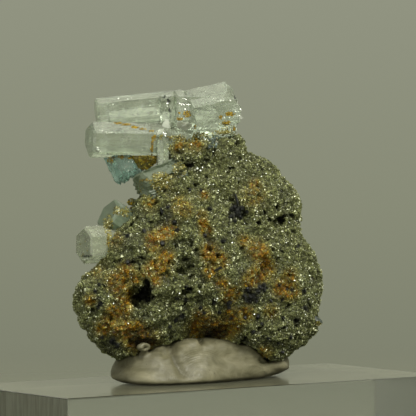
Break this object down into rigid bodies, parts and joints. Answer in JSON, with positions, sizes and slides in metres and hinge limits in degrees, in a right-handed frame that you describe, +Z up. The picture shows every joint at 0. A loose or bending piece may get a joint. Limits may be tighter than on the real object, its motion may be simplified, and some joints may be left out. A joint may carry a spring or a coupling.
{
  "type": "aquamarine with muscovite",
  "caption": "Pale aquamarine prisms across the top and side of a sparkling muscovite lump, held upright in grey putty on a clear acrylic display block.",
  "frame": {"origin": "centre of the acrylic block's underside, on the surface that the block stands on", "axes": "+X along the block's long side, +Y from the front long face to the back one, +Z up. The specimen's show side faces -Y turned 36 degrees towards -X, to the block's left front corner"},
  "size_m": [0.1, 0.041, 0.0851],
  "materials": {
    "muscovite": "satin",
    "aquamarine": "gloss",
    "putty": "matte",
    "acrylic": "polished"
  },
  "bodies": {
    "root": {"muscovite_matrix": "muscovite", "aquamarine_top_cluster": "aquamarine", "aquamarine_side_cluster": "aquamarine", "aquamarine_sliver": "aquamarine", "aquamarine_chip": "aquamarine", "putty": "putty", "acrylic_block": "acrylic"}
  },
  "joints": []
}
